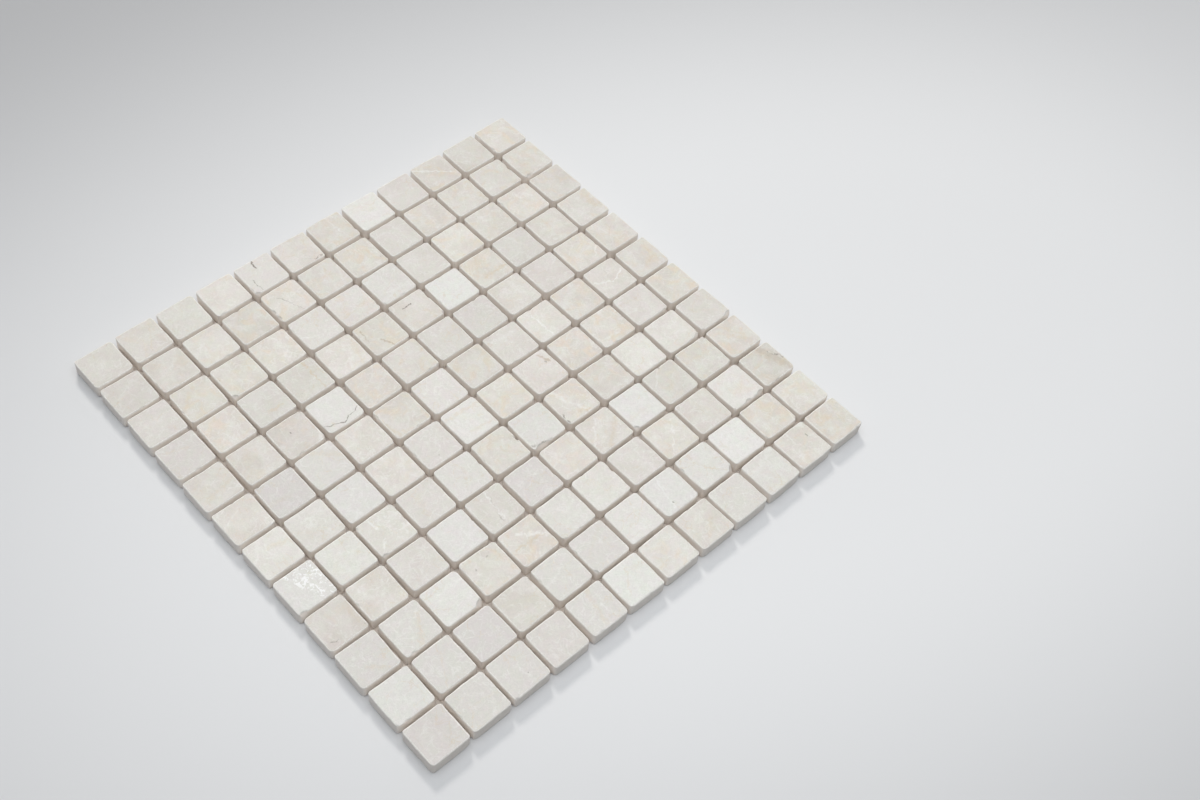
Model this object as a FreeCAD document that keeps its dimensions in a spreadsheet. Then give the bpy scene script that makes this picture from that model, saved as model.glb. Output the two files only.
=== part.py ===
import FreeCAD, Part
import math
import os
import random

import Sketcher

# A sheet of tumbled cream marble mosaic: square stone tiles in rows and columns with open joints,
# bonded by their backs to a laid scrim of glass-fibre strands. Sizes are in millimetres. X runs
# along the rows and Y across them, the faces look up along +Z, and the origin is the middle of the
# sheet on the floor that it lies on.

DRIVING_SIZES = (
    ("tile_columns", 12, "tiles along X"),
    ("tile_rows", 12, "tiles along Y"),
    ("tile_side", 23.4, "side of an unworn tile"),
    ("joint_width", 2.0, "open joint between two unworn tiles"),
    ("tile_thickness", 8.6, "stone, from its sawn back to its face"),
    ("corner_wear", 2.0, "how far tumbling wore an upright corner back along each side"),
    ("face_arris", 0.85, "width of the worn edge round the face"),
    ("back_arris", 0.5, "width of the worn edge round the back"),
    ("side_spread", 0.25, "most that a side lies in from a true square"),
    ("thickness_spread", 0.15, "most that a tile is thicker or thinner"),
    ("shift_spread", 0.25, "most that a tile sits off its place in the grid"),
    ("turn_spread", 0.8, "most that a tile is turned in its place, in degrees"),
    ("strand_pitch", 5.0, "from one scrim strand to the next"),
    ("strand_width", 0.9, "width of a strand"),
    ("strand_thickness", 0.2, "thickness of a strand, pressed flat"),
    ("scrim_margin", 3.0, "from the outer side of the tiles in to the end of a strand"),
)
DERIVED_SIZES = (
    ("tile_pitch", "=tile_side + joint_width", "from one tile to the next"),
    ("scrim_x", "=tile_columns * tile_pitch - joint_width - 2 * scrim_margin", "along X"),
    ("scrim_y", "=tile_rows * tile_pitch - joint_width - 2 * scrim_margin", "along Y"),
    ("strands_along_x", "=floor((scrim_y - strand_width) / strand_pitch) + 1", "weft strands"),
    ("strands_along_y", "=floor((scrim_x - strand_width) / strand_pitch) + 1", "warp strands"),
)

# Tumbling wears every tile another way. The sheet repeats a few worn blanks, each laid at any of
# four quarter turns.
WORN_BLANKS = 6
LAYING_TURNS = (0, 90, 180, 270)
WEAR_SEED = 11
LAYING_SEED = 23
# A corner's wear along one side, as a share of corner_wear.
LEAST_WEAR, MOST_WEAR = 0.7, 1.3
# The middle of a rounded corner lies this share of its radius in from both sides.
ROUND_MIDDLE = 1 - math.sqrt(0.5)
# A worn edge is at most this share of corner_wear, because it has to fit the flats of a corner.
ARRIS_SHARE = 0.45
# The signs of a tile's corners, anticlockwise.
CORNER_SIGNS = ((-1, -1), (1, -1), (1, 1), (-1, 1))


def add_sizes(doc):
    """The spreadsheet of sizes."""
    sheet = doc.addObject("Spreadsheet::Sheet", "Sizes")
    for row, (alias, value, meaning) in enumerate(DRIVING_SIZES + DERIVED_SIZES, start=1):
        sheet.set(f"A{row}", alias)
        sheet.set(f"B{row}", str(value))
        sheet.set(f"C{row}", meaning)
        sheet.setAlias(f"B{row}", alias)
    doc.recompute()
    return sheet


def add_sketch(body, name):
    """A sketch on the body's own XY plane."""
    sketch = body.newObject("Sketcher::SketchObject", name)
    plane = next(feature for feature in body.Origin.OriginFeatures if feature.Role == "XY_Plane")
    sketch.AttachmentSupport = [(plane, "")]
    sketch.MapMode = "FlatFace"
    return sketch


def add_closed_outline(sketch, points):
    """Lines through points. A point is two pairs, for X and Y, of an expression and its value."""
    places = [FreeCAD.Vector(x[1], y[1], 0) for x, y in points]
    lines = len(places)
    for line in range(lines):
        after = (line + 1) % lines
        sketch.addGeometry(Part.LineSegment(places[line], places[after]), False)
    for line in range(lines):
        after = (line + 1) % lines
        sketch.addConstraint(Sketcher.Constraint("Coincident", line, 2, after, 1))
    for line, point in enumerate(points):
        for axis, (expression, value) in zip("XY", point):
            index = sketch.addConstraint(
                Sketcher.Constraint(f"Distance{axis}", -1, 1, line, 1, value)
            )
            name = f"point_{line + 1}_{axis.lower()}"
            sketch.renameConstraint(index, name)
            sketch.setExpression(f"Constraints.{name}", expression)


def outline_coordinate(sheet, sign, drift, worn):
    """Expression and value of a coordinate that lies in from a tile's side by drift of the side's
    spread and worn of the corner's wear."""
    expression = (
        f"{sign} * (Sizes.tile_side / 2 - {drift:.2f} * Sizes.side_spread"
        f" - {worn:.3f} * Sizes.corner_wear)"
    )
    inset = round(drift, 2) * sheet.side_spread + round(worn, 3) * sheet.corner_wear
    return expression, sign * (sheet.tile_side / 2 - inset)


def corner_points(sheet, signs, wear):
    """The three outline points of one worn corner, anticlockwise."""
    sign_x, sign_y = signs
    drift_x, drift_y = wear.random(), wear.random()
    worn_before = wear.uniform(LEAST_WEAR, MOST_WEAR)
    worn_after = wear.uniform(LEAST_WEAR, MOST_WEAR)
    middle = ROUND_MIDDLE * (worn_before + worn_after) / 2
    # The side before a corner runs along Y where both signs are the same, and else along X.
    if sign_x == sign_y:
        insets = ((0, worn_before), (middle, middle), (worn_after, 0))
    else:
        insets = ((worn_before, 0), (middle, middle), (0, worn_after))
    return [
        (
            outline_coordinate(sheet, sign_x, drift_x, inset_x),
            outline_coordinate(sheet, sign_y, drift_y, inset_y),
        )
        for inset_x, inset_y in insets
    ]


def end_face(feature, end):
    """Name of the feature's highest face, where end is max, or its lowest, where end is min."""
    faces = feature.Shape.Faces
    number = end(range(len(faces)), key=lambda place: faces[place].CenterOfMass.z)
    return f"Face{number + 1}"


def add_worn_edge(body, base, name, end, size_alias):
    """A chamfer round one end of a tile, no wider than the flats of its corners allow."""
    chamfer = body.newObject("PartDesign::Chamfer", name)
    chamfer.Base = (base, [end_face(base, end)])
    chamfer.setExpression("Size", f"min(Sizes.{size_alias}; {ARRIS_SHARE} * Sizes.corner_wear)")
    body.Document.recompute()
    return chamfer


def add_worn_blank(doc, sheet, number, wear):
    """One worn tile about the Z axis, with its sawn back at Z = 0."""
    body = doc.addObject("PartDesign::Body", f"worn_blank_{number}")
    sketch = add_sketch(body, f"blank_{number}_outline")
    points = []
    for signs in CORNER_SIGNS:
        points += corner_points(sheet, signs, wear)
    add_closed_outline(sketch, points)
    pad = body.newObject("PartDesign::Pad", f"blank_{number}_stone")
    pad.Profile = sketch
    thicker = wear.uniform(-1, 1)
    pad.setExpression(
        "Length", f"Sizes.tile_thickness + {thicker:.2f} * Sizes.thickness_spread"
    )
    doc.recompute()
    face_edge = add_worn_edge(body, pad, f"blank_{number}_face_edge", max, "face_arris")
    add_worn_edge(body, face_edge, f"blank_{number}_back_edge", min, "back_arris")
    return body


def lay_tile(doc, blank, name, row, column, laying):
    """A worn blank laid in its place in the grid, a little off it and a little turned."""
    tile = doc.addObject("App::Link", name)
    tile.LinkedObject = blank
    shift_x, shift_y, turn = (laying.uniform(-1, 1) for _ in range(3))
    laid = laying.choice(LAYING_TURNS)
    tile.setExpression(
        "Placement.Base.x",
        f"({column} - (Sizes.tile_columns - 1) / 2) * Sizes.tile_pitch"
        f" + {shift_x:.2f} * Sizes.shift_spread",
    )
    tile.setExpression(
        "Placement.Base.y",
        f"({row} - (Sizes.tile_rows - 1) / 2) * Sizes.tile_pitch"
        f" + {shift_y:.2f} * Sizes.shift_spread",
    )
    tile.setExpression("Placement.Base.z", "2 * Sizes.strand_thickness")
    tile.setExpression("Placement.Rotation.Angle", f"{laid} + {turn:.2f} * Sizes.turn_spread")
    return tile


def add_tile_row(doc, sheet, blanks, row, laying):
    """One row of tiles. Two tiles side by side are never the same blank."""
    tiles = []
    blank = None
    for column in range(int(sheet.tile_columns)):
        blank = laying.choice([other for other in blanks if other is not blank])
        name = f"tile_{row + 1:02d}_{column + 1:02d}"
        tiles.append(lay_tile(doc, blank, name, row, column, laying))
    tile_row = doc.addObject("Part::Compound", f"tile_row_{row + 1:02d}")
    tile_row.Label = tile_row.Name
    tile_row.Links = tiles
    return tile_row


def add_strands(doc, sheet, name, along, layer):
    """One layer of the scrim: parallel flat strands that run along x or y."""
    body = doc.addObject("PartDesign::Body", name)
    body.Label = name
    body.AllowCompound = True
    count = f"Sizes.strands_along_{along}"
    gaps = sheet.get(f"strands_along_{along}") - 1
    half_length = sheet.get(f"scrim_{along}") / 2
    ends = [(f"{sign} * Sizes.scrim_{along} / 2", sign * half_length) for sign in (-1, 1)]
    sides = [
        (
            f"{sign} * Sizes.strand_width / 2 - ({count} - 1) / 2 * Sizes.strand_pitch",
            sign * sheet.strand_width / 2 - gaps / 2 * sheet.strand_pitch,
        )
        for sign in (-1, 1)
    ]
    corners = [(ends[0], sides[0]), (ends[1], sides[0]), (ends[1], sides[1]), (ends[0], sides[1])]
    across_axis = "V_Axis"
    if along == "y":
        corners = [(side, end) for end, side in corners]
        across_axis = "H_Axis"
    sketch = add_sketch(body, f"{name}_outline")
    add_closed_outline(sketch, corners)
    strand = body.newObject("PartDesign::Pad", f"{name}_first")
    strand.Profile = sketch
    strand.setExpression("Length", "Sizes.strand_thickness")
    doc.recompute()
    pattern = body.newObject("PartDesign::LinearPattern", f"{name}_pattern")
    pattern.Originals = [strand]
    pattern.Direction = (sketch, [across_axis])
    pattern.setExpression("Length", f"({count} - 1) * Sizes.strand_pitch")
    pattern.setExpression("Occurrences", count)
    body.Tip = pattern
    body.setExpression("Placement.Base.z", f"{layer} * Sizes.strand_thickness")
    return body


def check(doc, parts):
    """Stops the build at any object that failed or any sub-part without sound solids."""
    for item in doc.Objects:
        if "Invalid" in item.State or "Error" in item.State:
            raise RuntimeError(f"{item.Name} failed: {item.State}")
    for part in parts:
        if part.Shape.isNull() or not part.Shape.isValid() or not part.Shape.Solids:
            raise RuntimeError(f"{part.Label} has no sound solid")


def export(parts):
    """Writes each sub-part to a file named after its label."""
    os.makedirs("parts", exist_ok=True)
    for part in parts:
        part.Shape.exportStep(f"parts/{part.Label}.step")
        print(part.Label, len(part.Shape.Solids), "solids")


def main():
    doc = FreeCAD.newDocument("mosaic_tile_sheet")
    sheet = add_sizes(doc)
    wear = random.Random(WEAR_SEED)
    blanks = [add_worn_blank(doc, sheet, number + 1, wear) for number in range(WORN_BLANKS)]
    laying = random.Random(LAYING_SEED)
    parts = [
        add_strands(doc, sheet, "scrim_warp_strands", "y", 0),
        add_strands(doc, sheet, "scrim_weft_strands", "x", 1),
    ]
    for row in range(int(sheet.tile_rows)):
        parts.append(add_tile_row(doc, sheet, blanks, row, laying))
    doc.recompute()
    check(doc, parts)
    export(parts)


main()
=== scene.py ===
import math
import random

import bmesh
import bpy
import numpy as np
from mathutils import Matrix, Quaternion, Vector, noise


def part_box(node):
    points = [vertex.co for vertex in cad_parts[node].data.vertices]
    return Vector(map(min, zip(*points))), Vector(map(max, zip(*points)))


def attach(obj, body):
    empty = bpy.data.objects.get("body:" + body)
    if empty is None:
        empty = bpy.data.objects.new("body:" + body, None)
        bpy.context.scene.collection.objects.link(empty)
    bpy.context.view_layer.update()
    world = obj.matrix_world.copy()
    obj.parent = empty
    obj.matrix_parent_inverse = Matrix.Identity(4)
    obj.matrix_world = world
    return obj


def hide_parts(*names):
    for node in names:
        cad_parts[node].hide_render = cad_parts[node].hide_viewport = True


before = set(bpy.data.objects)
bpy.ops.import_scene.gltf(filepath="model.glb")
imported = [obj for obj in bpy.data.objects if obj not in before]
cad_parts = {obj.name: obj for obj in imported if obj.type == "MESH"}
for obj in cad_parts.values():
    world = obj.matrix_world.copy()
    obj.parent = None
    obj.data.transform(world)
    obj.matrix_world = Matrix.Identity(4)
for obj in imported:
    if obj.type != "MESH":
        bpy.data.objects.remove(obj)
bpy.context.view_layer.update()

# Looks of a sheet of tumbled cream marble mosaic on a glass-fibre scrim. The frame gives every
# tile's place, outline and thickness, and every strand's place. Lengths are metres, and those
# given in millimetres are multiplied by MM.
MM = 0.001
SAME_POINT = 0.001 * MM
SEED = 5

TILE_ROWS = sorted(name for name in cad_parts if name.startswith("tile_row_"))
ROWS = len(TILE_ROWS)
TILE_PITCH = (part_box(TILE_ROWS[-1])[0].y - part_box(TILE_ROWS[0])[0].y) / (ROWS - 1)

# A worn tile is a stack of closed rings. Each ring has these points round the tile.
SIDE_POINTS = 22
CORNER_POINTS = 8
# The rings on the face, as shares of the way from its middle to its rim.
FACE_SHARES = (0.2, 0.42, 0.62, 0.78, 0.89, 0.96)
# The rings over the worn edge, in degrees from the face's normal.
FACE_EDGE_TURNS = (0, 15, 30, 45, 60, 75, 90)
# The rings down the side, as shares of the way from the worn face edge to the worn back edge.
SIDE_SHARES = (0.25, 0.5, 0.75)
BACK_EDGE_TURNS = (0, 30, 60, 90)
BACK_SHARES = (0.5,)

# How much a worn edge's radius varies, as shares of the solid's, and how much less it is at the
# upright corners.
LEAST_EDGE, MOST_EDGE = 0.7, 1.5
CORNER_LOSS = 0.35
# A side bows out in its middle by up to this.
MOST_BOW = 0.16 * MM
# Waves left by tumbling: wavelength and height on the sides, and what share of it the face has.
WAVES = ((8 * MM, 0.20 * MM), (3 * MM, 0.10 * MM), (1.2 * MM, 0.04 * MM))
FACE_WAVES = 0.22


def solid_points(node):
    """The corner points of each separate solid of a node of the frame."""
    shape = bmesh.new()
    shape.from_mesh(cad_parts[node].data)
    bmesh.ops.remove_doubles(shape, verts=shape.verts, dist=SAME_POINT)
    found = []
    for start in shape.verts:
        if start.tag:
            continue
        start.tag = True
        front = [start]
        points = []
        while front:
            vertex = front.pop()
            points.append(vertex.co[:])
            for edge in vertex.link_edges:
                other = edge.other_vert(vertex)
                if not other.tag:
                    other.tag = True
                    front.append(other)
        found.append(np.array(points))
    shape.free()
    return found


def wave(points, wavelength, offset):
    """Smooth noise from about -1 to 1 at points."""
    return np.array([noise.noise(Vector(point)) for point in points / wavelength + offset])


def tile_corners(points):
    """The twelve points that mark a tile's outline, anticlockwise, three to a corner, and the
    heights of the solid's back, the top of its back edge, the foot of its face edge and its face."""
    heights = np.unique(np.round(points[:, 2] / SAME_POINT)) * SAME_POINT
    rim = points[np.abs(points[:, 2] - heights[2]) < SAME_POINT][:, :2]
    middle = points.mean(axis=0)[:2]
    turns = np.arctan2(rim[:, 1] - middle[1], rim[:, 0] - middle[0])
    return rim[np.argsort(turns)], heights


def smoothed(ring_values, times):
    """Values round a closed ring, each drawn towards its neighbours a few times."""
    for _ in range(times):
        beside = np.roll(ring_values, 1, axis=0) + np.roll(ring_values, -1, axis=0)
        ring_values = ring_values / 2 + beside / 4
    return ring_values


def smooth_outline(corners, bows):
    """A closed curve round the twelve points, and its normals. Each side bows out by its bow."""
    before, middle, after = corners[0::3], corners[1::3], corners[2::3]
    curve = []
    for corner in range(4):
        start, bend, end = before[corner], middle[corner], after[corner]
        control = 2 * bend - (start + end) / 2
        for share in np.linspace(0, 1, CORNER_POINTS, endpoint=False):
            curve.append((1 - share) ** 2 * start + 2 * share * (1 - share) * control + share**2 * end)
        following = before[(corner + 1) % 4]
        along = (following - end) / np.linalg.norm(following - end)
        outward = np.array((along[1], -along[0]))
        for share in np.linspace(0, 1, SIDE_POINTS, endpoint=False):
            bow = outward * bows[corner] * math.sin(math.pi * share)
            curve.append(end * (1 - share) + following * share + bow)
    curve = smoothed(np.array(curve), 2)
    along = np.roll(curve, -1, axis=0) - np.roll(curve, 1, axis=0)
    normals = np.stack((along[:, 1], -along[:, 0]), axis=1)
    normals /= np.linalg.norm(normals, axis=1, keepdims=True)
    return curve, normals


def ring(outline, normals, inset, height):
    """A ring inside the outline, and the outline's normals as its own."""
    places = outline - normals * np.broadcast_to(inset, len(outline))[:, None]
    return np.column_stack((places, np.broadcast_to(height, len(outline))))


def facing(normals, turn):
    """Normals turned up out of the plane. turn is in radians: 0 is level and a quarter is up."""
    return np.column_stack((normals * math.cos(turn), np.full(len(normals), math.sin(turn))))


def joint_share(normals, place, columns):
    """How far each point of a tile's outline faces a neighbour across a joint, from 0 to 1."""
    column, row = place
    sides = (
        ((1, 0), column < columns - 1),
        ((-1, 0), column > 0),
        ((0, 1), row < ROWS - 1),
        ((0, -1), row > 0),
    )
    share = np.zeros(len(normals))
    for side, has_neighbour in sides:
        if has_neighbour:
            share += np.maximum(normals @ side, 0) ** 2
    return share


def worn_tile(points, chips, luck):
    """Points, faces and edge wear of one tile, its middle and its outline's normals. Wear is 0
    on the face and 1 down the side."""
    corners, (back, back_top, face_foot, face) = tile_corners(points)
    bows = [luck.uniform(0, MOST_BOW) for _ in range(4)]
    outline, normals = smooth_outline(corners, bows)
    centre = outline.mean(axis=0)
    level = np.column_stack((outline, np.full(len(outline), luck.uniform(0, 1))))
    spread = (wave(level, 7 * MM, 3.7) + 1) / 2
    edge = (face - face_foot) * (LEAST_EDGE + (MOST_EDGE - LEAST_EDGE) * np.clip(spread, 0, 1))
    at_corner = np.tile(np.repeat((1.0, 0.0), (CORNER_POINTS, SIDE_POINTS)), 4)
    edge *= 1 - CORNER_LOSS * smoothed(at_corner, 4)
    back_edge = (back_top - back) * (0.8 + 0.8 * np.clip(spread, 0, 1))

    rings = []
    directions = []
    wear = []
    strength = []

    def add(places, outward, worn, waves):
        rings.append(places)
        directions.append(outward)
        wear.append(np.full(len(places), worn))
        strength.append(np.full(len(places), waves))

    rim = ring(outline, normals, edge, face)
    for share in FACE_SHARES:
        flat = np.column_stack((centre + (rim[:, :2] - centre) * share, rim[:, 2]))
        add(flat, facing(normals, math.pi / 2), 0, FACE_WAVES)
    for degrees in FACE_EDGE_TURNS:
        turn = math.radians(degrees)
        rounded = ring(
            outline, normals, edge * (1 - math.sin(turn)), face - edge * (1 - math.cos(turn))
        )
        share = degrees / 90
        add(rounded, facing(normals, math.pi / 2 - turn), share, FACE_WAVES + (1 - FACE_WAVES) * share)
    for share in SIDE_SHARES:
        height = (face - edge) * (1 - share) + (back + back_edge) * share
        add(ring(outline, normals, 0, height), facing(normals, 0), 1, 1)
    for degrees in BACK_EDGE_TURNS:
        turn = math.radians(degrees)
        rounded = ring(
            outline, normals, back_edge * (1 - math.cos(turn)), back + back_edge * (1 - math.sin(turn))
        )
        add(rounded, facing(normals, -turn), 1, 1 - degrees / 90)
    rim = rings[-1]
    for share in BACK_SHARES:
        flat = np.column_stack((centre + (rim[:, :2] - centre) * share, rim[:, 2]))
        add(flat, facing(normals, -math.pi / 2), 1, 0)

    count = len(outline)
    places = np.concatenate(rings + [[(*centre, face)], [(*centre, back)]])
    outward = np.concatenate(directions + [[(0, 0, 1)], [(0, 0, -1)]])
    wear = np.concatenate(wear + [[0], [1]])
    strength = np.concatenate(strength + [[FACE_WAVES], [0]])
    offset = luck.uniform(0, 100)
    for wavelength, height in WAVES:
        lift = wave(places, wavelength, offset) * height * strength
        places = places + outward * lift[:, None]
    for chip in chips:
        places = chipped(places, outline, normals, centre, face, back, chip)

    faces = []
    last = len(rings) - 1
    for step in range(count):
        after = (step + 1) % count
        faces.append((len(places) - 2, step, after))
        for upper in range(last):
            low, high = (upper + 1) * count, upper * count
            faces.append((high + step, low + step, low + after, high + after))
        faces.append((len(places) - 1, last * count + after, last * count + step))
    return places, faces, wear, centre, normals


def chipped(places, outline, normals, centre, face, back, chip):
    """Places with a scoop out of the face's edge. A chip is its bearing from the tile's middle in
    degrees, its width, its depth and how steeply it faces up, from 0 to 1."""
    bearing, width, depth, steep = chip
    turns = np.arctan2(outline[:, 1] - centre[1], outline[:, 0] - centre[0])
    away = np.abs((turns - math.radians(bearing) + math.pi) % (2 * math.pi) - math.pi)
    nearest = int(np.argmin(away))
    outward = np.array((*(normals[nearest] * math.sqrt(1 - steep**2)), steep))
    rim = np.array((*outline[nearest], face)) - np.array((*normals[nearest], 1)) * 0.25 * MM
    radius = (width**2 / 4 + depth**2) / (2 * depth)
    scoop = rim + outward * (radius - depth)
    rays = places - scoop
    lengths = np.linalg.norm(rays, axis=1)
    inside = (lengths < radius) & (places[:, 2] > back + 1.5 * MM)
    rough = 1 + 0.03 * wave(places[inside], 1.1 * MM, 9.1)
    places = places.copy()
    places[inside] = scoop + rays[inside] * (radius * rough / lengths[inside])[:, None]
    return places


# The tiles that stand out, by column along +X and row along +Y from the sheet's lowest corner.
# How white a tile is, from 0, cream, to 1, white.
WHITE_TILES = {
    (3, 7): 0.95, (0, 7): 0.8, (10, 9): 0.85, (8, 8): 0.85, (11, 5): 0.8, (6, 5): 0.65, (9, 2): 0.65,
    (4, 3): 0.55, (9, 10): 0.5, (7, 9): 0.3, (10, 7): 0.65, (7, 0): 0.5, (10, 8): 0.65, (10, 6): 0.4,
    (7, 1): 0.5, (2, 6): 0.45, (8, 3): 0.5, (6, 2): 0.45, (6, 0): 0.3, (10, 0): 0.5, (2, 5): 0.4,
    (11, 9): 0.5, (7, 6): 0.45, (9, 6): 0.4, (7, 4): 0.35,
}
# How light and how warm a tile is, each from -1 to 1.
TINTED_TILES = {
    (0, 9): (-0.9, 0.8), (8, 9): (-0.8, 0.5), (7, 8): (-0.6, 0.4), (9, 11): (-1.0, 0.6),
    (3, 11): (-0.5, 0.6), (5, 6): (-0.8, 0.7), (5, 4): (-0.5, 0.9), (5, 9): (-0.4, 0.9),
    (3, 8): (-0.4, 0.9), (1, 4): (0.1, 0.9), (7, 7): (0.2, 0.9), (8, 7): (0.1, 0.6),
    (9, 4): (0.3, 0.7), (4, 5): (-0.6, 0.7), (8, 0): (-1.0, 0.1), (1, 1): (-1.0, 0.2),
    (0, 1): (-0.9, 0.2), (4, 0): (-0.9, 0.1), (11, 0): (-0.9, -0.6), (1, 7): (-0.3, -0.4),
    (5, 10): (0.1, -0.1), (5, 8): (0.4, 0.2), (5, 7): (0.0, -0.3), (0, 3): (0.3, 0.1),
}
# How much of a tile is polished calcite, which is smoother and gets a painted glint.
GLINTING_TILES = {(7, 0): 1.0, (8, 1): 0.15, (7, 2): 0.25, (6, 1): 0.15, (2, 3): 0.15}

WHITE_VEIN, GOLD_VEIN, BROWN_VEIN, CRACK = range(4)
# Veins and cracks: kind, the ends in shares of half a tile from its middle, half the width in
# millimetres, and strength.
MARKED_TILES = {
    (4, 3): ((CRACK, (0.42, 0.95), (0.78, -0.08), 0.3, 1.0), (CRACK, (0.78, -0.08), (0.42, -0.95), 0.34, 1.0)),
    (0, 4): ((CRACK, (-0.88, 0.0), (-0.38, 0.0), 0.5, 1.0), (CRACK, (0.15, -0.57), (0.9, -0.5), 0.4, 0.8)),
    (0, 5): ((CRACK, (0.76, 0.95), (0.84, 0.4), 0.45, 0.8), (CRACK, (0.84, 0.4), (0.6, 0.2), 0.45, 0.7)),
    (1, 4): ((CRACK, (-0.5, -0.35), (0.1, -0.05), 0.3, 0.5), (CRACK, (0.1, -0.05), (0.9, 0.25), 0.3, 0.5)),
    (3, 6): ((CRACK, (-0.4, 0.02), (-0.44, -0.42), 0.45, 1.0), (GOLD_VEIN, (0.2, 0.3), (0.9, 0.5), 1.5, 0.3)),
    (7, 6): ((CRACK, (0.92, 0.0), (0.7, -0.9), 0.7, 0.5), (WHITE_VEIN, (-0.4, 0.2), (0.5, -0.2), 1.0, 0.3)),
    (7, 7): ((WHITE_VEIN, (-0.95, -0.5), (0.9, 0.25), 1.3, 0.6), (CRACK, (0.35, -0.86), (0.85, -0.92), 0.6, 0.8)),
    (8, 7): ((WHITE_VEIN, (-0.7, 0.1), (0.5, -0.95), 0.9, 0.6), (GOLD_VEIN, (-0.2, 0.9), (0.8, -0.4), 1.6, 0.4)),
    (10, 7): ((WHITE_VEIN, (-0.85, 0.0), (0.7, -0.35), 0.8, 0.7), (CRACK, (0.5, -0.22), (0.54, -0.24), 0.7, 0.8)),
    (8, 9): ((WHITE_VEIN, (-0.95, 0.1), (0.1, -0.95), 0.6, 0.6), (CRACK, (-0.95, 0.12), (-0.85, 0.1), 0.8, 0.9)),
    (9, 8): ((WHITE_VEIN, (-0.35, 0.45), (0.8, -0.55), 0.4, 0.6), (GOLD_VEIN, (-0.8, 0.2), (0.1, 0.8), 1.5, 0.3)),
    (0, 9): ((WHITE_VEIN, (0.6, 0.9), (-0.85, -0.95), 0.6, 0.9), (WHITE_VEIN, (-0.2, -0.3), (-0.7, -0.6), 0.9, 0.5)),
    (0, 6): ((WHITE_VEIN, (-0.9, 0.2), (0.1, 0.25), 0.8, 0.5), (WHITE_VEIN, (0.1, 0.25), (0.9, 0.4), 0.6, 0.4)),
    (3, 3): ((GOLD_VEIN, (-0.95, 0.42), (0.1, 0.42), 0.8, 0.8), (GOLD_VEIN, (0.1, 0.42), (0.9, 0.4), 0.5, 0.6)),
    (3, 5): ((BROWN_VEIN, (0.27, -0.17), (0.85, 0.1), 0.5, 0.8), (BROWN_VEIN, (-0.65, -0.6), (0.0, -0.7), 0.7, 0.8)),
    (3, 8): ((GOLD_VEIN, (0.4, 0.8), (0.38, -0.4), 1.4, 0.6), (GOLD_VEIN, (-0.2, -0.3), (0.3, -0.8), 1.2, 0.3)),
    (9, 11): ((CRACK, (-0.4, 0.5), (0.25, 0.9), 0.5, 0.7), (BROWN_VEIN, (-0.9, 0.25), (0.7, 0.75), 3.2, 0.45)),
    (3, 11): ((GOLD_VEIN, (-0.7, 0.5), (0.3, 0.6), 3.5, 0.45), (WHITE_VEIN, (-0.2, -0.5), (0.8, -0.1), 1.5, 0.3)),
    (6, 5): ((GOLD_VEIN, (-0.5, 0.9), (-0.6, -0.9), 1.2, 0.35), (GOLD_VEIN, (0.6, 0.9), (0.5, -0.3), 1.5, 0.3)),
    (9, 4): ((GOLD_VEIN, (0.15, 0.7), (0.05, -0.7), 1.0, 0.6), (WHITE_VEIN, (0.2, 0.8), (-0.5, -0.2), 1.4, 0.7)),
    (8, 4): ((WHITE_VEIN, (-0.8, 0.1), (0.6, 0.0), 0.9, 0.8), (CRACK, (-0.5, 0.16), (0.7, -0.14), 0.25, 0.4)),
    (4, 10): ((WHITE_VEIN, (0.2, 0.8), (0.6, 0.4), 0.5, 0.7), (WHITE_VEIN, (0.6, 0.4), (0.9, 0.5), 0.4, 0.6)),
    (5, 10): ((WHITE_VEIN, (-0.1, 0.8), (0.25, 0.0), 0.7, 0.9), (WHITE_VEIN, (0.25, 0.0), (-0.2, -0.8), 0.7, 0.8)),
    (8, 0): ((CRACK, (0.62, -0.35), (0.56, -0.7), 0.45, 0.7), (GOLD_VEIN, (-0.4, 0.6), (0.5, 0.7), 2.0, 0.3)),
    (4, 2): ((CRACK, (-0.2, -0.13), (-0.17, -0.13), 0.7, 1.0), (WHITE_VEIN, (0.5, 0.9), (0.8, 0.7), 1.0, 0.7)),
    (9, 3): ((CRACK, (-0.5, 0.3), (-0.48, 0.3), 0.5, 0.4), (CRACK, (-0.3, -0.47), (-0.27, -0.47), 0.6, 0.6)),
    (6, 7): ((CRACK, (-0.3, 0.55), (-0.27, 0.53), 0.7, 0.9), (BROWN_VEIN, (-0.75, 0.5), (-0.2, 0.72), 0.9, 0.7)),
    (11, 10): ((CRACK, (-0.3, 0.5), (-0.27, 0.52), 0.7, 0.8), (WHITE_VEIN, (0.1, -0.3), (0.7, -0.6), 1.0, 0.3)),
    (3, 2): ((GOLD_VEIN, (0.42, 0.6), (0.38, -0.2), 1.2, 0.5), (WHITE_VEIN, (-0.3, -0.3), (0.0, -0.6), 0.7, 0.4)),
    (1, 6): ((CRACK, (0.45, 0.75), (0.5, 0.7), 0.7, 0.6), (GOLD_VEIN, (-0.7, 0.8), (0.3, 0.3), 1.4, 0.3)),
    (5, 8): ((WHITE_VEIN, (-0.6, -0.25), (0.9, -0.2), 0.7, 0.8), (CRACK, (-0.93, -0.2), (-0.9, -0.35), 0.6, 0.7)),
    (7, 2): ((WHITE_VEIN, (-0.8, -0.3), (-0.2, -0.25), 0.7, 0.9), (WHITE_VEIN, (0.3, -0.3), (0.6, -0.6), 0.7, 0.8)),
    (5, 4): ((CRACK, (0.92, 0.4), (0.88, -0.1), 0.5, 0.6), (GOLD_VEIN, (-0.2, -0.9), (0.9, -0.7), 1.5, 0.4)),
}
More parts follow.
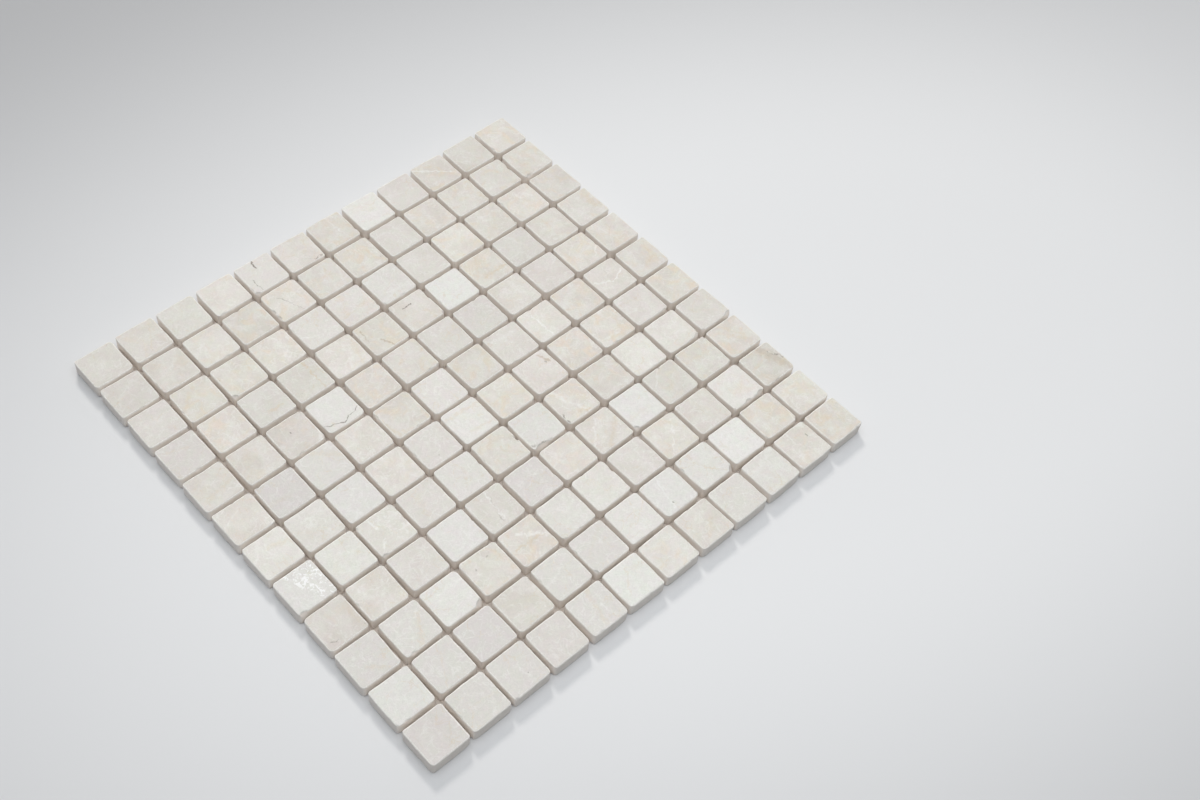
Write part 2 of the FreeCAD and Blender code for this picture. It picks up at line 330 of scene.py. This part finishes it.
# Scoops out of a face's edge: bearing in degrees, width and depth in millimetres, and how steeply
# each faces up.
CHIPPED_TILES = {
    (7, 5): ((92, 3.8, 1.4, 0.4),), (8, 9): ((172, 2.6, 1.0, 0.4),),
    (10, 8): ((47, 9.0, 1.6, 0.4), (-115, 3.0, 0.8, 0.4)),
    (9, 2): ((42, 8.0, 1.6, 0.4),), (7, 6): ((-25, 9.0, 1.1, 0.4),), (1, 11): ((-35, 4.0, 1.2, 0.5),),
    (1, 10): ((95, 4.0, 0.9, 0.4),), (8, 8): ((-45, 4.0, 1.2, 0.5),),
    (9, 10): ((38, 5.0, 1.0, 0.4), (-4, 4.0, 1.0, 0.4)),
    (7, 10): ((40, 3.5, 1.1, 0.4),), (5, 8): ((185, 3.0, 0.7, 0.4),), (9, 6): ((110, 3.0, 0.9, 0.5),),
    (7, 11): ((40, 4.0, 1.0, 0.4),), (0, 11): ((-60, 3.0, 0.6, 0.5),),
    (1, 4): ((-80, 4.0, 0.9, 0.4), (-58, 3.0, 0.8, 0.4)),
    (0, 4): ((-42, 4.0, 0.9, 0.5),), (1, 3): ((184, 3.0, 0.8, 0.4),), (4, 2): ((-16, 4.0, 0.7, 0.4),),
    (7, 0): ((-38, 5.0, 1.0, 0.4),), (10, 5): ((-48, 3.5, 0.9, 0.5),), (2, 2): ((-42, 4.0, 1.1, 0.4),),
    (7, 2): ((-40, 3.5, 0.9, 0.4),), (9, 1): ((-30, 3.0, 0.8, 0.4),), (3, 6): ((110, 3.0, 0.8, 0.4),),
}


def tile_chips(place, luck):
    """The chips of a tile: its own, if it stands out, and a few small ones."""
    chips = []
    for bearing, width, depth, steep in CHIPPED_TILES.get(place, ()):
        chips.append((bearing, width * MM, depth * MM, steep))
    for _ in range(luck.choice((0, 1, 1, 2, 3))):
        width = luck.uniform(1.2, 3.0) * MM
        chips.append((luck.uniform(-180, 180), width, width * luck.uniform(0.12, 0.22), luck.uniform(0.3, 0.7)))
    return chips


def tile_tint(place, luck):
    """How light, warm and white a tile is. Tiles are cooler towards the corner at +X and -Y; painted
    shade dims them towards the sheet's corners, and painted light brightens them towards +X."""
    column, row = place
    cooler = (column - row) / (ROWS - 1)
    # Painted shade towards the sheet's corners, and painted light towards +X.
    painted_corner_shade = ((column - ROWS / 2) ** 2 + (row - ROWS / 2) ** 2) / (ROWS / 2) ** 2
    painted_light_towards_x = column / (ROWS - 1) - 0.5
    light = luck.gauss(0.05 - 0.3 * painted_corner_shade + 0.85 * painted_light_towards_x, 0.42)
    warm = luck.gauss(0.05 - 1.1 * cooler, 0.6)
    white = max(0, luck.gauss(0, 0.12))
    light, warm = TINTED_TILES.get(place, (light, warm))
    return light, warm, WHITE_TILES.get(place, white)


def tile_strokes(place, luck):
    """Two veins or cracks: kind, ends, half width and strength. Most tiles have faint ones."""
    faint = []
    for _ in range(2):
        bearing = luck.uniform(0, 2 * math.pi)
        reach = Vector((math.cos(bearing), math.sin(bearing)))
        middle = Vector((luck.uniform(-0.6, 0.6), luck.uniform(-0.6, 0.6)))
        start, end = middle - reach * luck.uniform(0.3, 1), middle + reach * luck.uniform(0.3, 1)
        kind = luck.choice((WHITE_VEIN, WHITE_VEIN, GOLD_VEIN))
        faint.append((kind, start[:], end[:], luck.uniform(0.4, 2.2), luck.choice((0, 0.15, 0.3))))
    return MARKED_TILES.get(place, faint)


def add_attribute(mesh, name, values):
    """A value or vector for each point of a mesh."""
    values = np.asarray(values, dtype=np.float32)
    kind, key = ("FLOAT", "value") if values.ndim == 1 else ("FLOAT_VECTOR", "vector")
    mesh.attributes.new(name, kind, "POINT").data.foreach_set(key, values.ravel())


def add_piece(name, places, faces, material):
    """A smooth mesh object."""
    mesh = bpy.data.meshes.new(name)
    mesh.from_pydata(places, [], faces)
    mesh.materials.append(material)
    mesh.shade_smooth()
    piece = bpy.data.objects.new(name, mesh)
    bpy.context.scene.collection.objects.link(piece)
    return piece


def add_tile_row(node, row, material):
    """The twelve tiles of a row as one piece, which stands for the row's solids."""
    luck = random.Random(SEED * 1000 + row)
    places, faces = [], []
    values = {"wear": [], "stone": [], "spot": [], "tint": [], "glint": [], "joint": []}
    for stroke in (1, 2):
        values[f"start_{stroke}"], values[f"end_{stroke}"], values[f"force_{stroke}"] = [], [], []
    solids = sorted(solid_points(node), key=lambda points: points[:, 0].mean())
    first = 0
    for column, points in enumerate(solids):
        place = (column, row)
        tile_places, tile_faces, wear, centre, normals = worn_tile(points, tile_chips(place, luck), luck)
        count = len(tile_places)
        # How far each point faces a neighbour, which picks the painted light of the joint walls.
        joint = joint_share(normals, place, len(solids))
        values["joint"].append(np.append(np.tile(joint, count // len(joint)), (0, 0)))
        faces += [tuple(corner + first for corner in face) for face in tile_faces]
        first += count
        places.append(tile_places)
        spot = (tile_places - np.array((*centre, 0))) / MM
        turn = luck.uniform(0, 2 * math.pi)
        across = np.array((math.cos(turn), -math.sin(turn), 0))
        along = np.array((math.sin(turn), math.cos(turn), 0))
        cut_from = np.array([luck.uniform(-400, 400) for _ in range(3)])
        values["wear"].append(wear)
        values["spot"].append(spot)
        values["stone"].append(
            np.column_stack((spot @ across, spot @ along, spot[:, 2])) + cut_from
        )
        values["tint"].append(np.tile(tile_tint(place, luck), (count, 1)))
        values["glint"].append(np.full(count, GLINTING_TILES.get(place, 0.0)))
        half = TILE_PITCH / MM / 2
        for stroke, (kind, start, end, width, force) in enumerate(tile_strokes(place, luck), start=1):
            values[f"start_{stroke}"].append(np.tile((start[0] * half, start[1] * half, width), (count, 1)))
            values[f"end_{stroke}"].append(np.tile((end[0] * half, end[1] * half, kind), (count, 1)))
            values[f"force_{stroke}"].append(np.full(count, force))
    piece = add_piece(node.replace("tile", "tumbled"), np.concatenate(places), faces, material)
    for name, parts in values.items():
        add_attribute(piece.data, name, np.concatenate(parts))
    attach(piece, "root")
    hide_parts(node)
    return piece


# Scrim strands: points round a strand, the step along it, and how far it strays.
STRAND_SIDES = 8
STRAND_STEP = 5 * MM
STRAND_STRAY = 0.15 * MM
# The adhesive dried in the scrim under each joint, and squeezed up a little between the tiles:
# half its width, how far that strays, half the squeezed crest's width and its height above the
# floor, how far that strays, the step along it, how far it stops short of the sheet's edge, and
# its foot and top above the floor for joints along X and along Y.
FILM_HALF = 2.9 * MM
FILM_STRAY = 0.7 * MM
CREST_HALF = 1.1 * MM
CREST_HEIGHT = 0.95 * MM
CREST_STRAY = 0.25 * MM
FILM_STEP = 2 * MM
FILM_MARGIN = 4 * MM
FILM_LEVELS = ((0.30 * MM, 0.37 * MM), (0.22 * MM, 0.29 * MM))


def film_section(middle, foot, top, seed):
    """Six points of a film's section, as places across it and heights above the floor."""
    low = middle - FILM_HALF + FILM_STRAY * noise.noise(seed)
    high = middle + FILM_HALF + FILM_STRAY * noise.noise(seed + Vector((0, 0, 5)))
    crest = CREST_HEIGHT + CREST_STRAY * noise.noise(seed + Vector((0, 0, 9)))
    inner, outer = middle - CREST_HALF, middle + CREST_HALF
    return ((low, foot), (high, foot), (high, top), (outer, crest), (inner, crest), (low, top))


def film_ribbons(first):
    """Points and faces of the films, with the faces' numbers starting at first."""
    reach = TILE_PITCH * ROWS / 2 - FILM_MARGIN
    stations = int(2 * reach / FILM_STEP) + 1
    places, faces = [], []
    for along, (foot, top) in enumerate(FILM_LEVELS):
        for line in range(1, ROWS):
            middle = (line - ROWS / 2) * TILE_PITCH
            start = first + len(places)
            for station, place in enumerate(np.linspace(-reach, reach, stations)):
                section = film_section(middle, foot, top, Vector((station * 0.6, line, along)))
                sides = len(section)
                for across, level in section:
                    places.append((place, across, level) if along == 0 else (across, place, level))
                if station:
                    here = start + station * sides
                    for side in range(sides):
                        after = (side + 1) % sides
                        face = (here - sides + side, here + side, here + after, here - sides + after)
                        faces.append(face if along == 0 else tuple(reversed(face)))
            last = first + len(places)
            ends = (tuple(range(start, start + sides)), tuple(range(last - 1, last - sides - 1, -1)))
            faces += [end if along == 0 else tuple(reversed(end)) for end in ends]
    return places, faces


def add_strands(node, along, material):
    """One layer of the scrim. along is 0 where the strands run along X and 1 along Y."""
    across = 1 - along
    luck = random.Random(SEED + along)
    places, faces = [], []
    for points in solid_points(node):
        low, high = points.min(axis=0), points.max(axis=0)
        middle, half = (low + high) / 2, (high - low) / 2
        stations = int((high[along] - low[along]) / STRAND_STEP) + 1
        first = len(places)
        offset = luck.uniform(0, 1000)
        for station, reach in enumerate(np.linspace(low[along], high[along], stations)):
            stray = noise.noise((offset, station * 0.35, 0)) * STRAND_STRAY
            swell = 1 + 0.18 * noise.noise((offset, station * 0.8, 7))
            for side in range(STRAND_SIDES):
                turn = 2 * math.pi * side / STRAND_SIDES
                place = [0, 0, middle[2] + half[2] * math.sin(turn)]
                place[along] = reach
                place[across] = middle[across] + stray + half[across] * swell * math.cos(turn)
                places.append(place)
            if station:
                here, back = first + station * STRAND_SIDES, first + (station - 1) * STRAND_SIDES
                for side in range(STRAND_SIDES):
                    after = (side + 1) % STRAND_SIDES
                    faces.append((back + side, back + after, here + after, here + side))
        faces.append(tuple(range(first, first + STRAND_SIDES)))
        faces.append(tuple(reversed(range(len(places) - STRAND_SIDES, len(places)))))
    if along == 1:
        faces = [tuple(reversed(face)) for face in faces]
    strand_points = len(places)
    if along == 0:
        film_places, film_faces = film_ribbons(strand_points)
        places += film_places
        faces += film_faces
    piece = add_piece(node.replace("scrim", "glass"), places, faces, material)
    add_attribute(piece.data, "film", np.arange(len(places)) >= strand_points)
    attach(piece, "root")
    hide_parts(node)
    return piece


def colour(red, green, blue):
    """A colour given from 0 to 255 as it shows on a screen, for a shader."""
    shares = [value / 255 for value in (red, green, blue)]
    return (*(share / 12.92 if share <= 0.04045 else ((share + 0.055) / 1.055) ** 2.4 for share in shares), 1)


class Nodes:
    """Adds nodes to a tree and joins them."""

    def __init__(self, tree):
        self.tree = tree

    def add(self, kind, inputs=(), **settings):
        """A node with settings, and with each input set to a value or joined to an output."""
        made = self.tree.nodes.new(kind)
        for name, value in settings.items():
            setattr(made, name, value)
        for key, value in dict(inputs).items():
            if isinstance(value, bpy.types.NodeSocket):
                self.tree.links.new(value, made.inputs[key])
            else:
                made.inputs[key].default_value = value
        return made

    def attribute(self, name, value=False):
        made = self.add("ShaderNodeAttribute", attribute_name=name)
        return made.outputs["Fac" if value else "Vector"]

    def split(self, vector):
        return self.add("ShaderNodeSeparateXYZ", {0: vector}).outputs

    def math(self, operation, first, second=0.0, third=0.0):
        return self.add("ShaderNodeMath", {0: first, 1: second, 2: third}, operation=operation).outputs[0]

    def vector(self, operation, first, second=(0, 0, 0), output=0):
        made = self.add("ShaderNodeVectorMath", {0: first, 1: second}, operation=operation)
        return made.outputs[output]

    def scale(self, vector, factor):
        return self.add("ShaderNodeVectorMath", {0: vector, 3: factor}, operation="SCALE").outputs[0]

    def ramp(self, value, low, high, to_low=0.0, to_high=1.0):
        """value smoothly carried from the range low to high into the range to_low to to_high."""
        inputs = {"Value": value, "From Min": low, "From Max": high, "To Min": to_low, "To Max": to_high}
        return self.add("ShaderNodeMapRange", inputs, interpolation_type="SMOOTHSTEP").outputs[0]

    def noise(self, vector, scale, detail=3.0, distortion=0.0):
        inputs = {"Vector": vector, "Scale": scale, "Detail": detail, "Distortion": distortion}
        return self.add("ShaderNodeTexNoise", inputs).outputs[0]

    def mix(self, factor, first, second, blend="MIX"):
        inputs = {0: factor, 6: first, 7: second}
        return self.add("ShaderNodeMix", inputs, data_type="RGBA", blend_type=blend).outputs[2]


def new_material(name):
    """An empty material, its nodes and its surface shader."""
    material = bpy.data.materials.new(name)
    material.use_nodes = True
    material.node_tree.nodes.clear()
    nodes = Nodes(material.node_tree)
    shader = nodes.add("ShaderNodeBsdfPrincipled")
    nodes.add("ShaderNodeOutputMaterial", {"Surface": shader.outputs[0]})
    return material, nodes, shader


def stroke_masks(nodes, number, wobble):
    """Where a tile's vein or crack lies, as a mask for each kind. A stroke runs between two points
    of the face, and wobble bends it."""
    start = nodes.attribute(f"start_{number}")
    end = nodes.attribute(f"end_{number}")
    force = nodes.attribute(f"force_{number}", value=True)
    width = nodes.split(start)[2]
    kind = nodes.split(end)[2]
    level = (1, 1, 0)
    spot = nodes.vector("MULTIPLY", nodes.vector("ADD", nodes.attribute("spot"), wobble), level)
    start = nodes.vector("MULTIPLY", start, level)
    end = nodes.vector("MULTIPLY", end, level)
    span = nodes.vector("SUBTRACT", end, start)
    ray = nodes.vector("SUBTRACT", spot, start)
    reach = nodes.math("DIVIDE", nodes.vector("DOT_PRODUCT", ray, span, output=1),
                       nodes.vector("DOT_PRODUCT", span, span, output=1))
    reach = nodes.math("MINIMUM", nodes.math("MAXIMUM", reach, 0.0), 1.0)
    away = nodes.vector("LENGTH", nodes.vector("SUBTRACT", ray, nodes.scale(span, reach)), output=1)
    breaks = nodes.noise(nodes.vector("ADD", nodes.attribute("stone"), (0, 0, 40 * number)), 0.45, 3)
    width = nodes.math("MULTIPLY", width, nodes.ramp(breaks, 0.3, 0.7, 0.5, 1.5))
    mask = nodes.ramp(nodes.math("DIVIDE", away, width), 0.1, 1.2, 1.0, 0.0)
    mask = nodes.math("MULTIPLY", mask, nodes.math("MULTIPLY", force, nodes.ramp(breaks, 0.3, 0.55, 0.35, 1.0)))
    masks = []
    for wanted in (WHITE_VEIN, GOLD_VEIN, BROWN_VEIN, CRACK):
        chosen = nodes.math("COMPARE", kind, wanted, 0.25)
        masks.append(nodes.math("MULTIPLY", mask, chosen))
    return masks


PALE_CREAM = colour(224, 221, 214)
DEEP_CREAM = colour(216, 211, 203)
COOL_CREAM = colour(218, 215, 210)
WARM_CREAM = colour(224, 214, 199)
WHITE_STONE = colour(231, 231, 227)
CALCITE = colour(240, 240, 237)
# Painted glint: near-white patches on polished calcite.
PAINTED_GLINT = colour(250, 250, 249)
GOLD = colour(214, 199, 175)
FLECK = colour(203, 190, 170)
VEIN_BROWN = colour(178, 158, 130)
CRACK_BROWN = colour(120, 108, 96)
ROSY, GREENISH = colour(255, 251, 254), colour(252, 255, 251)
# A worn rim's colour: paler bruised calcite, with a painted highlight.
WORN_RIM_AND_HIGHLIGHT = colour(243, 241, 236)
# The sides' colours: the outer walls carry painted shade, darker and greyer than the face, and the walls across a
# joint carry painted light, paler than the face, fading to painted shade at their foot.
OUTER_SIDE_WITH_PAINTED_SHADE = colour(209, 203, 197)
JOINT_SIDE_PAINTED_LIGHT, JOINT_FOOT_PAINTED_SHADE = colour(243, 236, 229), colour(228, 219, 211)


def wisps(nodes, place, scale, width):
    """Wandering thin lines, where smooth noise crosses its middle level, from 0 to 1."""
    level = nodes.noise(place, scale, 3, 0.9)
    away = nodes.math("ABSOLUTE", nodes.math("SUBTRACT", level, 0.5))
    return nodes.ramp(away, 0.0, width, 1.0, 0.0)


def healed_cracks(nodes, place, scale, width):
    """A net of fine lines, as where cracks in the stone healed, from 0 to 1."""
    inputs = {"Vector": place, "Scale": scale}
    net = nodes.add("ShaderNodeTexVoronoi", inputs, feature="DISTANCE_TO_EDGE")
    return nodes.ramp(net.outputs["Distance"], 0.0, width, 1.0, 0.0)


def marble_material():
    """Tumbled cream marble. Every tile is cut from its own place in the stone."""
    material, nodes, shader = new_material("tumbled_cream_marble")
    stone = nodes.attribute("stone")
    light, warm, white = nodes.split(nodes.attribute("tint"))[0:3]
    glint = nodes.attribute("glint", value=True)
    wear = nodes.attribute("wear", value=True)

    clouds = nodes.noise(stone, 0.075, 4, 0.6)
    patches = nodes.noise(nodes.vector("ADD", stone, (57, 31, 12)), 0.12, 4, 0.8)
    mottle = nodes.noise(stone, 0.55, 5, 0.4)
    speckle = nodes.noise(stone, 1.3, 3)
    grain = nodes.noise(stone, 3.2, 3)

    shade = nodes.mix(nodes.ramp(clouds, 0.34, 0.68), PALE_CREAM, DEEP_CREAM)
    warmth = nodes.math("MULTIPLY", nodes.ramp(patches, 0.45, 0.72), nodes.ramp(warm, -0.5, 1.0))
    shade = nodes.mix(warmth, shade, WARM_CREAM)
    shade = nodes.mix(nodes.ramp(warm, 0.1, -1.0), shade, COOL_CREAM)
    whiten = nodes.math("MULTIPLY", white, nodes.ramp(mottle, 0.25, 0.6, 0.88, 1.0))
    shade = nodes.mix(whiten, shade, WHITE_STONE)
    hue = nodes.noise(nodes.vector("ADD", stone, (5, 83, 66)), 0.2, 5)
    tile_hue = nodes.noise(nodes.vector("ADD", stone, (35, 3, 86)), 0.012, 1)
    hue = nodes.math("ADD", nodes.ramp(hue, 0.3, 0.7, 0.0, 0.65), nodes.ramp(tile_hue, 0.25, 0.75, 0.0, 0.35))
    shade = nodes.mix(1.0, shade, nodes.mix(hue, ROSY, GREENISH), "MULTIPLY")

    stray = nodes.add("ShaderNodeTexNoise", {"Vector": stone, "Scale": 0.35, "Detail": 4.0}).outputs[1]
    wobble = nodes.scale(nodes.vector("SUBTRACT", stray, (0.5, 0.5, 0.5)), 4.5)
    veined = nodes.noise(nodes.vector("ADD", stone, (9, 71, 40)), 0.07, 2, 0.8)
    bent = nodes.vector("ADD", stone, wobble)
    threads = nodes.math("MULTIPLY", healed_cracks(nodes, bent, 0.14, 0.045), nodes.ramp(veined, 0.47, 0.6))
    wisp = nodes.math("MULTIPLY", wisps(nodes, stone, 0.14, 0.035), nodes.ramp(veined, 0.58, 0.44))
    shade = nodes.mix(nodes.math("MULTIPLY", wisp, 0.3), shade, CALCITE)
    thread_tone = nodes.mix(nodes.ramp(patches, 0.42, 0.55), CALCITE, GOLD)
    shade = nodes.mix(nodes.math("MULTIPLY", threads, 0.4), shade, thread_tone)
    flecks = nodes.math("MULTIPLY", nodes.ramp(speckle, 0.6, 0.75), nodes.ramp(patches, 0.45, 0.65))
    shade = nodes.mix(nodes.math("MULTIPLY", flecks, 0.5), shade, FLECK)
    cracks = []
    for number in (1, 2):
        vein, gold, brown, crack = stroke_masks(nodes, number, wobble)
        shade = nodes.mix(nodes.math("MULTIPLY", vein, 0.7), shade, CALCITE)
        shade = nodes.mix(nodes.math("MULTIPLY", gold, nodes.ramp(mottle, 0.3, 0.6, 0.5, 1.0)), shade, GOLD)
        shade = nodes.mix(nodes.math("MULTIPLY", brown, 0.7), shade, VEIN_BROWN)
        cracks.append(nodes.math("MULTIPLY", crack, 0.8))
    crack = nodes.math("MAXIMUM", cracks[0], cracks[1])

    cells = nodes.add("ShaderNodeTexVoronoi", {"Vector": stone, "Scale": 0.3})
    chance, size = nodes.split(cells.outputs["Color"])[0:2]
    rare = nodes.math("LESS_THAN", chance, 0.02)
    radius = nodes.ramp(size, 0.0, 1.0, 0.05, 0.11)
    pit = nodes.ramp(nodes.math("DIVIDE", cells.outputs["Distance"], radius), 0.5, 1.0, 1.0, 0.0)
    pit = nodes.math("MULTIPLY", pit, rare)
    crack = nodes.math("MAXIMUM", crack, nodes.math("MULTIPLY", pit, 0.55))

    fine = nodes.math("MULTIPLY_ADD", nodes.math("SUBTRACT", mottle, 0.5), 0.14, 1.001)
    fine = nodes.math("MULTIPLY_ADD", nodes.math("SUBTRACT", speckle, 0.5), 0.17, fine)
    fine = nodes.math("MULTIPLY_ADD", nodes.math("SUBTRACT", grain, 0.5), 0.22, fine)
    # A tile's lightness, which holds painted shade towards the sheet's corners and painted light towards +X.
    level = nodes.math("MULTIPLY", nodes.math("MULTIPLY_ADD", light, 0.055, 1.0), fine)
    shade = nodes.scale(shade, level)
    shade = nodes.mix(crack, shade, CRACK_BROWN)
    # The rim is paler bruised calcite, with a painted highlight along every edge.
    bruise_and_painted_highlight = nodes.math("MULTIPLY", nodes.ramp(wear, 0.0, 0.2, 0.0, 0.8), nodes.ramp(speckle, 0.35, 0.6, 0.5, 1.0))
    shade = nodes.mix(bruise_and_painted_highlight, shade, WORN_RIM_AND_HIGHLIGHT)
    # Walls across a joint get painted light, fading to painted shade near the floor; the outer walls get painted
    # shade.
    above_floor = nodes.split(nodes.attribute("spot"))[2]
    painted_joint_light_and_shade = nodes.mix(nodes.ramp(above_floor, 5.0, 1.0), JOINT_SIDE_PAINTED_LIGHT, JOINT_FOOT_PAINTED_SHADE)
    side = nodes.mix(nodes.attribute("joint", value=True), OUTER_SIDE_WITH_PAINTED_SHADE, painted_joint_light_and_shade)
    shade = nodes.mix(nodes.ramp(wear, 0.35, 1.0, 0.0, 0.85), shade, side)

    # Painted glint: on polished calcite, patches of a tile's upper left half are painted near white, and they are
    # smoother.
    polish_and_painted_glint = nodes.math(
        "MAXIMUM",
        nodes.ramp(nodes.noise(stone, 0.8, 4, 0.5), 0.57, 0.62),
        nodes.ramp(nodes.noise(stone, 0.22, 6, 1.0), 0.58, 0.61),
    )
    upper_left = nodes.vector("DOT_PRODUCT", nodes.attribute("spot"), (-0.5, 1.0, 0.0), output=1)
    polish_and_painted_glint = nodes.math("MULTIPLY", polish_and_painted_glint, nodes.ramp(upper_left, -4.0, 1.0))
    polish_and_painted_glint = nodes.math("MULTIPLY", polish_and_painted_glint, glint)
    shade = nodes.mix(nodes.math("MULTIPLY", polish_and_painted_glint, 0.9), shade, PAINTED_GLINT)
    rough = nodes.math("MULTIPLY_ADD", polish_and_painted_glint, -0.42, nodes.ramp(mottle, 0.3, 0.7, 0.55, 0.68))
    height = nodes.math("MULTIPLY", grain, 0.03)
    height = nodes.math("MULTIPLY_ADD", mottle, 0.10, height)
    height = nodes.math("MULTIPLY_ADD", crack, -0.25, height)
    bump = nodes.add("ShaderNodeBump", {"Height": height, "Distance": MM, "Strength": 0.7})
    nodes.tree.links.new(shade, shader.inputs["Base Color"])
    nodes.tree.links.new(rough, shader.inputs["Roughness"])
    nodes.tree.links.new(bump.outputs[0], shader.inputs["Normal"])
    shader.inputs["Specular IOR Level"].default_value = 0.4
    return material


def scrim_material():
    """White glass-fibre strands stiffened with a coating, and the dried adhesive between them."""
    material, nodes, shader = new_material("coated_glass_scrim")
    place = nodes.add("ShaderNodeTexCoord").outputs["Object"]
    stretched = nodes.noise(nodes.scale(place, 1 / MM), 1.4, 4)
    strand = nodes.mix(nodes.ramp(stretched, 0.3, 0.7), colour(222, 221, 214), colour(238, 238, 234))
    film = nodes.mix(nodes.ramp(stretched, 0.3, 0.7), colour(206, 197, 188), colour(217, 208, 199))
    shade = nodes.mix(nodes.attribute("film", value=True), strand, film)
    bump = nodes.add("ShaderNodeBump", {"Height": stretched, "Distance": 0.08 * MM, "Strength": 1.0})
    nodes.tree.links.new(shade, shader.inputs["Base Color"])
    nodes.tree.links.new(bump.outputs[0], shader.inputs["Normal"])
    shader.inputs["Roughness"].default_value = 0.5
    return material


FLOOR_SIDE = 8.0
FLOOR_DROP = 0.05 * MM
# The plain tone seen beyond the floor, and how far from the sheet the floor turns into it.
BACKDROP = colour(214, 215, 217)
FLOOR_FADE = (0.42, 1.05)
# The middle of the floor's painted shade, where it is brightest, and how far away the painted shade
# is darkest, along two axes turned by the angle below.
FLOOR_SHADE_MIDDLE = (0.082, 0.161, 0)
FLOOR_SHADE_TURN = math.radians(-19.7)
FLOOR_SHADE_REACHES = (0.496, 0.835)


def seen_share(nodes):
    """1 for a ray that shows a thing, straight or in gloss or glass, and 0 for one that lights."""
    path = nodes.add("ShaderNodeLightPath").outputs
    direct = nodes.math("MAXIMUM", path["Is Camera Ray"], path["Is Glossy Ray"])
    return nodes.math("MAXIMUM", direct, path["Is Transmission Ray"])


def add_floor():
    """A pale floor with painted shade that dims it away from the sheet, and that turns into the backdrop."""
    material, nodes, shader = new_material("pale_floor")
    surface = shader.outputs[0].links[0].to_socket
    place = nodes.add("ShaderNodeTexCoord").outputs["Object"]
    ray = nodes.vector("SUBTRACT", place, FLOOR_SHADE_MIDDLE)
    near, far = FLOOR_SHADE_REACHES
    across = (math.cos(FLOOR_SHADE_TURN) / near, math.sin(FLOOR_SHADE_TURN) / near, 0)
    along = (-math.sin(FLOOR_SHADE_TURN) / far, math.cos(FLOOR_SHADE_TURN) / far, 0)
    across = nodes.vector("DOT_PRODUCT", ray, across, output=1)
    along = nodes.vector("DOT_PRODUCT", ray, along, output=1)
    away = nodes.math("SQRT", nodes.math("MULTIPLY_ADD", across, across, nodes.math("MULTIPLY", along, along)))
    # Painted shade: the floor's colour dims away from its brightest spot.
    shade = nodes.mix(nodes.ramp(away, 0.255, 1.0), colour(230, 231, 232), colour(177, 178, 180))
    nodes.tree.links.new(shade, shader.inputs["Base Color"])
    shader.inputs["Roughness"].default_value = 0.6
    shader.inputs["Specular IOR Level"].default_value = 0.2
    distant = nodes.ramp(nodes.vector("LENGTH", place, output=1), *FLOOR_FADE)
    distant = nodes.math("MULTIPLY", distant, seen_share(nodes))
    beyond = nodes.add("ShaderNodeEmission", {"Color": BACKDROP, "Strength": 1.0})
    mixed = nodes.add("ShaderNodeMixShader", {0: distant, 1: shader.outputs[0], 2: beyond.outputs[0]})
    nodes.tree.links.new(mixed.outputs[0], surface)
    half = FLOOR_SIDE / 2
    corners = [(-half, -half, 0), (half, -half, 0), (half, half, 0), (-half, half, 0)]
    floor = add_piece("floor", corners, [(0, 1, 2, 3)], material)
    floor.location.z = -FLOOR_DROP


# The level direction that more of the soft light comes from, and how much more than the mean.
BRIGHT_SIDE = Vector((-0.88, 0.47, 0))
BRIGHT_SHARE = 0.5


def add_light(name, direction, distance, side, level, tone):
    """A square lamp that looks at the sheet. level is about the share of white that it gives a
    level white surface there."""
    lamp = bpy.data.lights.new(name, "AREA")
    lamp.shape = "SQUARE"
    lamp.size = side
    lamp.color = tone[0:3]
    towards = Vector(direction).normalized()
    lamp.energy = level * math.pi**2 * distance**2 / towards.z
    holder = bpy.data.objects.new(name, lamp)
    holder.location = towards * distance
    holder.rotation_mode = "QUATERNION"
    holder.rotation_quaternion = towards.to_track_quat("Z", "Y")
    bpy.context.scene.collection.objects.link(holder)


def add_world(level, tone):
    """Soft light from all round, stronger from the bright side, and the backdrop's plain tone."""
    world = bpy.data.worlds.new("studio")
    world.use_nodes = True
    world.node_tree.nodes.clear()
    nodes = Nodes(world.node_tree)
    direction = nodes.add("ShaderNodeTexCoord").outputs["Generated"]
    towards = nodes.vector("DOT_PRODUCT", direction, BRIGHT_SIDE, output=1)
    strength = nodes.math("MULTIPLY_ADD", towards, level * BRIGHT_SHARE, level)
    light = nodes.add("ShaderNodeBackground", {"Color": tone, "Strength": strength})
    backdrop = nodes.add("ShaderNodeBackground", {"Color": BACKDROP, "Strength": 1.0})
    inputs = {0: seen_share(nodes), 1: light.outputs[0], 2: backdrop.outputs[0]}
    mixed = nodes.add("ShaderNodeMixShader", inputs)
    nodes.add("ShaderNodeOutputWorld", {"Surface": mixed.outputs[0]})
    bpy.context.scene.world = world


# The camera's place, the point that it looks at, its roll, and its lens on a 36 mm sensor.
CAMERA_PLACE = Vector((0.36611, -0.32163, 0.67645))
CAMERA_TARGET = Vector((0.04777, 0.05007, 0.009))
CAMERA_ROLL = math.radians(8.035)
CAMERA_LENS = 45.645


def add_camera():
    data = bpy.data.cameras.new("camera")
    data.lens = CAMERA_LENS
    data.sensor_width = 36
    data.clip_start = 0.01
    camera = bpy.data.objects.new("camera", data)
    camera.location = CAMERA_PLACE
    camera.rotation_mode = "QUATERNION"
    towards = (CAMERA_PLACE - CAMERA_TARGET).to_track_quat("Z", "Y")
    camera.rotation_quaternion = towards @ Quaternion((0, 0, 1), CAMERA_ROLL)
    bpy.context.scene.collection.objects.link(camera)
    bpy.context.scene.camera = camera


add_camera()
add_floor()
add_world(0.31, colour(250, 252, 255))
add_light("overhead", (0.18, -0.10, 1.0), 1.4, 1.6, 0.68, colour(251, 253, 255))
add_light("key", (-0.65, 0.35, 0.73), 3.0, 0.55, 0.235, colour(255, 250, 243))

marble = marble_material()
for row, node in enumerate(TILE_ROWS):
    add_tile_row(node, row, marble)
scrim = scrim_material()
add_strands("scrim_weft_strands", 0, scrim)
add_strands("scrim_warp_strands", 1, scrim)

bpy.context.scene.view_settings.view_transform = "Standard"
